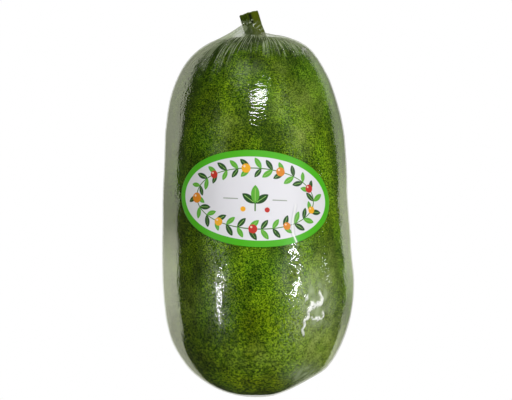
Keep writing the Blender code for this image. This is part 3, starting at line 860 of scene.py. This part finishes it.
def label_print(a, b):
    """The label's print as signed distances, below 0 inside: a wreath of leaves and fruits round a sprig."""
    shapes = ("stalk", "dark_leaf", "light_leaf", "vein", "berry", "berry_light", "rule")
    marks = {name: np.ones(a.shape) for name in shapes}
    marks["berry_kind"] = np.zeros(a.shape)

    def press(kind, distance):
        """Adds a shape to one kind of print."""
        marks[kind] = np.minimum(marks[kind], distance)

    def press_leaf(kind, *measures):
        """Adds a leaf and its vein."""
        leaf, vein = leaf_distances(a, b, *measures)
        press(kind, leaf)
        press("vein", vein)

    def press_berry(middle_a, middle_b, size, kind):
        """Adds a round fruit, from red where its kind is 0 to orange where it is 1."""
        distance = np.hypot(a - middle_a, b - middle_b) - size
        press("berry", distance)
        marks["berry_kind"] = np.where(distance < 0.0006, kind, marks["berry_kind"])

    random = np.random.default_rng(5)
    wreath_a, wreath_b = 0.0395, 0.0190
    count = 26
    angle = np.linspace(0.0, 2.0 * math.pi, 2001)
    steps = np.hypot(np.diff(wreath_a * np.cos(angle)), np.diff(wreath_b * np.sin(angle)))
    length = np.concatenate([[0.0], np.cumsum(steps)])
    spots = np.interp(np.arange(count) / count * length[-1], length, angle)
    share = np.maximum(np.hypot(a / wreath_a, b / wreath_b), 1e-6)
    press("stalk", np.abs(share - 1.0) * np.hypot(a, b) / share - 0.00035)
    for number, spot in enumerate(spots):
        foot = wreath_a * math.cos(spot), wreath_b * math.sin(spot)
        heading = math.atan2(wreath_b * math.cos(spot), -wreath_a * math.sin(spot))
        for side in (-1.0, 1.0):
            size = 0.0078 * random.uniform(0.85, 1.1)
            tilt = heading + side * random.uniform(0.75, 1.0)
            kind = "dark_leaf" if (number + (side > 0)) % 2 else "light_leaf"
            press_leaf(kind, *foot, tilt, size, 0.42 * size)
    for number in range(9):
        spot = spots[(number * 3 + 1) % count] + 0.06
        middle = wreath_a * math.cos(spot), wreath_b * math.sin(spot)
        size = 0.0027 * random.uniform(0.85, 1.25)
        press_berry(*middle, size, (0.0, 0.55, 1.0)[number % 3])
        light = np.hypot(a - middle[0] + 0.35 * size, b - middle[1] - 0.4 * size) - 0.22 * size
        press("berry_light", light)
    sprig = (("light_leaf", 0.0, 0.0115), ("dark_leaf", 0.95, 0.0100), ("dark_leaf", -0.95, 0.0100))
    for kind, turn, size in sprig:
        press_leaf(kind, 0.0, -0.003, math.pi / 2 + turn, size, 0.46 * size)
    press("stalk", np.hypot(a, b - np.clip(b, -0.0075, -0.002)) - 0.00045)
    for side in (-1.0, 1.0):
        middle = side * 0.0155
        press("rule", np.hypot(a - np.clip(a, middle - 0.0045, middle + 0.0045), b + 0.0005) - 0.0003)
        press_berry(side * 0.0075, -0.0068, 0.0016, 0.0 if side > 0 else 1.0)
    return marks


def make_label():
    """The label: an oval plate bent over the film, its rim closed, with one fold right of its middle.

    Both faces are ellipses of growing share on the flat label, laid on the fruit's skin at their own distance.
    """
    angle = np.arange(LABEL_SECTORS) * 2.0 * math.pi / LABEL_SECTORS

    def face(rings, outward):
        """(a, b, points, outward directions, share) of one face, its middle point last."""
        share, turn = np.meshgrid(np.linspace(0.0, 1.0, rings + 1)[1:], angle, indexing="ij")
        a, b = share * LABEL_HALF_WIDTH * np.cos(turn), share * LABEL_HALF_HEIGHT * np.sin(turn)
        a, b = np.append(a, 0.0), np.append(b, 0.0)
        points = label_place(a, b, outward)
        away = label_place(a, b, outward + 0.001) - points
        away /= np.linalg.norm(away, axis=1, keepdims=True)
        return a, b, points, away, np.append(share, 0.0)

    a, b, over, away, share = face(LABEL_RINGS, LABEL_OUT + LABEL_THICK)
    _, _, under, under_away, _ = face(LABEL_UNDER_RINGS, LABEL_OUT)
    line, fold_height, fold_width = LABEL_FOLD
    seen = in_view(over)
    distance, where = line_distance(seen[:, 0], seen[:, 1], line)
    started = smooth_step(0.0, 0.35, where)
    ridge = (1.0 - smooth_step(0.0, fold_width, distance)) * started
    rise = skin_lumps(over) + 0.00002 * ripples(over, 0.016, 8) + 0.001 * fold_height * ridge
    over = over + away * rise[:, None]
    under = under + under_away * skin_lumps(under)[:, None]

    turn = np.arctan2(b / LABEL_HALF_HEIGHT, a / LABEL_HALF_WIDTH)
    steepness = np.hypot(np.cos(turn) / LABEL_HALF_WIDTH, np.sin(turn) / LABEL_HALF_HEIGHT)
    print_marks = label_print(a, b)
    # The fold's painted highlight and the painted shade beside it
    other_marks = {"edge": (1.0 - share) / steepness, "crease_and_highlight": np.exp(-((distance / 0.42) ** 2)) * started,
                   "crease_painted_shade": 0.30 * np.exp(-(((distance - 1.0) / 0.4) ** 2)) * started}
    marks = {name: np.concatenate([np.ones(len(under)), values]) for name, values in print_marks.items()}
    for name, values in other_marks.items():
        marks[name] = np.concatenate([np.zeros(len(under)), values])

    points = np.concatenate([under, over])
    first = len(under)
    under_rim = (LABEL_UNDER_RINGS - 1) * LABEL_SECTORS
    over_rim = first + (LABEL_RINGS - 1) * LABEL_SECTORS
    here = np.arange(LABEL_SECTORS)
    after = (here + 1) % LABEL_SECTORS
    rim = np.stack([under_rim + here, under_rim + after, over_rim + after, over_rim + here], axis=-1)
    quads = np.concatenate([grid_faces(LABEL_UNDER_RINGS, LABEL_SECTORS),
                            grid_faces(LABEL_RINGS, LABEL_SECTORS, first, flip=True), rim])
    middles = np.concatenate([fan_faces(first - 1, 0, LABEL_SECTORS),
                              fan_faces(len(points) - 1, first, LABEL_SECTORS, flip=True)])
    return add_surface("label_oval", points, quads, middles, label_material(), marks)


# Floor, light and camera

def shade_beside(tree, x, y):
    """The fruit's shade on the floor: exp(-(gap + 10 mm) / fade), the gap being to a stadium round it."""
    nearest = calc(tree, "MINIMUM", calc(tree, "MAXIMUM", y, SHADE_FROM), SHADE_TO)
    beside = add(tree, "CombineXYZ", {"X": x, "Y": calc(tree, "SUBTRACT", y, nearest)}).outputs[0]
    gap = calc(tree, "SUBTRACT", vector(tree, "LENGTH", beside), SHADE_RADIUS)
    return calc(tree, "EXPONENT", times(tree, calc(tree, "ADD", gap, 0.010), -1.0 / SHADE_FADE))


def sheet_level(tree, x, y):
    """How bright the sheet is along Y: its own steps at the left and at the right, and a dip at the right."""
    left = times(tree, ramp(tree, y, -0.045, -0.005, 1.00, 0.50), ramp(tree, y, 0.010, 0.060, 1.0, 1.36),
                 ramp(tree, y, -0.100, -0.075, 0.80, 1.0))
    from_dip = times(tree, calc(tree, "ADD", y, 0.082), 1.0 / 0.030)
    dip = calc(tree, "EXPONENT", times(tree, from_dip, from_dip, -1.0))
    less = calc(tree, "SUBTRACT", 1.0, times(tree, dip, 0.48))
    right = times(tree, ramp(tree, y, -0.010, 0.050, 0.96, 0.56), less)
    return blend(tree, ramp(tree, x, -0.020, 0.020), left, right)


def sheet_mask(tree, flat):
    """1 on the sheet and 0 off it: a rectangle whose corners and rim are rounded."""
    centred = vector(tree, "SUBTRACT", flat, (*SHEET_MIDDLE, 0.0))
    past = vector(tree, "SUBTRACT", vector(tree, "ABSOLUTE", centred), (*SHEET_HALF, 0.0))
    rim = vector(tree, "LENGTH", vector(tree, "MAXIMUM", past))
    return ramp(tree, rim, *SHEET_RIM, 1.0, 0.0)


def floor_material():
    """White to the camera. To reflections it is a bright sheet with dark beyond, dimmer close to the fruit."""
    material, tree = new_material("floor")
    place = add(tree, "NewGeometry").outputs["Position"]
    flat = vector(tree, "MULTIPLY", place, (1.0, 1.0, 0.0))
    x, y, _ = add(tree, "SeparateXYZ", {0: flat}).outputs
    lit = calc(tree, "SUBTRACT", 1.0, shade_beside(tree, x, y))
    glow = times(tree, lit, SHEET_RADIANCE, sheet_level(tree, x, y))
    strength = blend(tree, sheet_mask(tree, flat), DIM_FLOOR, glow)
    rays = add(tree, "LightPath").outputs
    strength = calc(tree, "MAXIMUM", strength, times(tree, rays["Is Diffuse Ray"], FLOOR_BOUNCE))
    glowing = add(tree, "Emission", {"Strength": strength, "Color": colour(0.97, 1.0, 0.78)})
    white = add(tree, "Emission", {"Strength": 1.0})
    inputs = {0: rays["Is Camera Ray"], 1: glowing.outputs[0], 2: white.outputs[0]}
    return surfaced(material, "MixShader", inputs)


def make_floor():
    """A level white floor, 6 m square."""
    mesh = bpy.data.meshes.new("floor")
    mesh.from_pydata([(-3, -3, 0), (3, -3, 0), (3, 3, 0), (-3, 3, 0)], [], [(0, 1, 2, 3)])
    mesh.materials.append(floor_material())
    floor = bpy.data.objects.new("floor", mesh)
    bpy.context.scene.collection.objects.link(floor)
    return floor


def add_light(name, place, width, length, radiance, lean):
    """A soft rectangle of light, aimed at LIT_MIDDLE and turned by lean degrees about its beam."""
    light = bpy.data.lights.new(name, "AREA")
    light.shape = "RECTANGLE"
    light.size, light.size_y = width, length
    light.energy = radiance * math.pi * width * length
    lamp = bpy.data.objects.new(name, light)
    lamp.location = place
    towards = np.array(LIT_MIDDLE) - np.array(place)
    towards = towards / np.linalg.norm(towards)
    along = np.array([0.0, 1.0, 0.0]) - towards * towards[1]
    along = along / np.linalg.norm(along)
    across = np.cross(along, -towards)
    cosine, sine = math.cos(math.radians(lean)), math.sin(math.radians(lean))
    along, across = along * cosine + across * sine, across * cosine - along * sine
    columns = np.stack([across, along, -towards], axis=1)
    lamp.rotation_mode = "QUATERNION"
    lamp.rotation_quaternion = mathutils.Matrix(columns.tolist()).to_quaternion()
    lamp.visible_camera = False
    bpy.context.scene.collection.objects.link(lamp)
    return lamp


def make_lights():
    """The soft boxes. The wide one overhead only lights the colours and has no reflection of its own."""
    for name, measures in SOFT_BOXES.items():
        lamp = add_light(name, *measures)
        lamp.visible_glossy = name != "overhead"


def make_world():
    """White to the camera. To everything else it is dim, with a few soft sheens that fade like bell curves.

    A sheen is radiance * exp(-(across / width)^2 - (along / length)^2) on the side that it lies on.
    """
    world = bpy.data.worlds.new("surroundings")
    bpy.context.scene.world = world
    world.use_nodes = True
    tree = world.node_tree
    tree.nodes.clear()
    towards = add(tree, "TexCoord").outputs["Generated"]
    light = DIM_LIGHT
    for middle, across_size, along_size, radiance in SHEENS:
        middle = np.array(middle) / np.linalg.norm(middle)
        along = np.array([0.0, 1.0, 0.0]) - middle * middle[1]
        along = along / np.linalg.norm(along)
        axes = ((np.cross(middle, along), across_size), (along, along_size))
        spread = 0.0
        for axis, size in axes:
            off = vector(tree, "DOT_PRODUCT", towards, (axis / size).tolist())
            spread = calc(tree, "ADD", spread, times(tree, off, off))
        bell = calc(tree, "EXPONENT", times(tree, spread, -1.0))
        ahead = vector(tree, "DOT_PRODUCT", towards, middle.tolist())
        sheen = times(tree, bell, radiance, calc(tree, "GREATER_THAN", ahead, 0.0))
        light = calc(tree, "ADD", light, sheen)
    dim = add(tree, "Background", {"Color": colour(0.90, 1.0, 0.74), "Strength": light})
    white = add(tree, "Background", {"Color": colour(1.0, 1.0, 1.0)})
    camera_ray = add(tree, "LightPath").outputs["Is Camera Ray"]
    whole = add(tree, "MixShader", {0: camera_ray, 1: dim.outputs[0], 2: white.outputs[0]})
    add(tree, "OutputWorld", {"Surface": whole.outputs[0]})


def make_camera():
    """The camera looks straight down on the fruit, as in the photograph."""
    lens = bpy.data.cameras.new("camera")
    lens.sensor_width = SENSOR_MM
    lens.lens = LENS_MM
    camera = bpy.data.objects.new("camera", lens)
    camera.location = (EYE_X, EYE_Y, CAMERA_HEIGHT + float(PLACE[2]))
    bpy.context.scene.collection.objects.link(camera)
    bpy.context.scene.camera = camera


def show(piece, node):
    """Puts a piece in the place of a CAD node."""
    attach(piece, "root")
    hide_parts(node)


show(make_melon(), "melon")
show(make_stem(), "stem")
show(make_film(), "film")
show(make_label(), "label")
make_floor()
make_lights()
make_world()
make_camera()
bpy.context.scene.view_settings.view_transform = "Standard"
